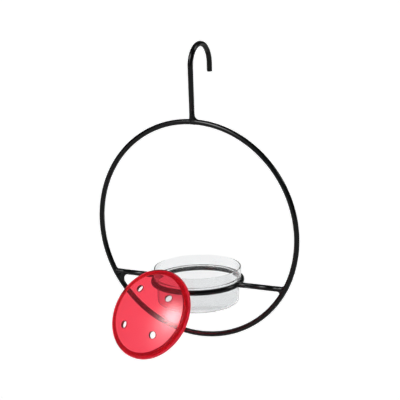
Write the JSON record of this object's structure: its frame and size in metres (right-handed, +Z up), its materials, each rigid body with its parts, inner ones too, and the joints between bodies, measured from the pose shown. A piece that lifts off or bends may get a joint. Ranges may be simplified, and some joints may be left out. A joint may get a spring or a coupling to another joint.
{
  "type": "hummingbird feeder",
  "caption": "Hanging nectar feeder: wire hoop with a top hook, perch bars and a ring that holds a lift-out clear bowl, with its domed red lid with feeding ports set off in front.",
  "frame": {"origin": "where the hook bears on what it hangs from, at the inside top of its bend", "axes": "+Z up, +X to the right along the perches, +Y to the back, where the hook's open end is; the lid leans in front, towards -Y"},
  "size_m": [0.25, 0.1615, 0.333],
  "materials": {
    "frame_metal": "black powder coat, satin",
    "weld_metal": "black powder coat over weld beads, satin",
    "clear_plastic": "clear, glossy",
    "red_plastic": "see-through red, glossy"
  },
  "bodies": {
    "frame": {"hoop": "frame_metal", "hook": "frame_metal", "left_perch": "frame_metal", "right_perch": "frame_metal", "holder_ring": "frame_metal", "hook_weld": "weld_metal", "left_hoop_weld": "weld_metal", "right_hoop_weld": "weld_metal", "left_ring_weld": "weld_metal", "right_ring_weld": "weld_metal"},
    "bowl": {"bowl": "clear_plastic"},
    "lid": {"lid": "red_plastic"}
  },
  "joints": [
    {"name": "bowl_lift", "type": "slide", "parent": "frame", "child": "bowl", "axis": [0, 0, 1], "range_m": [0, 0.08]},
    {"name": "lid_lift", "type": "slide", "parent": "frame", "child": "lid", "axis": [0, 0, 1], "range_m": [0, 0.1]}
  ]
}
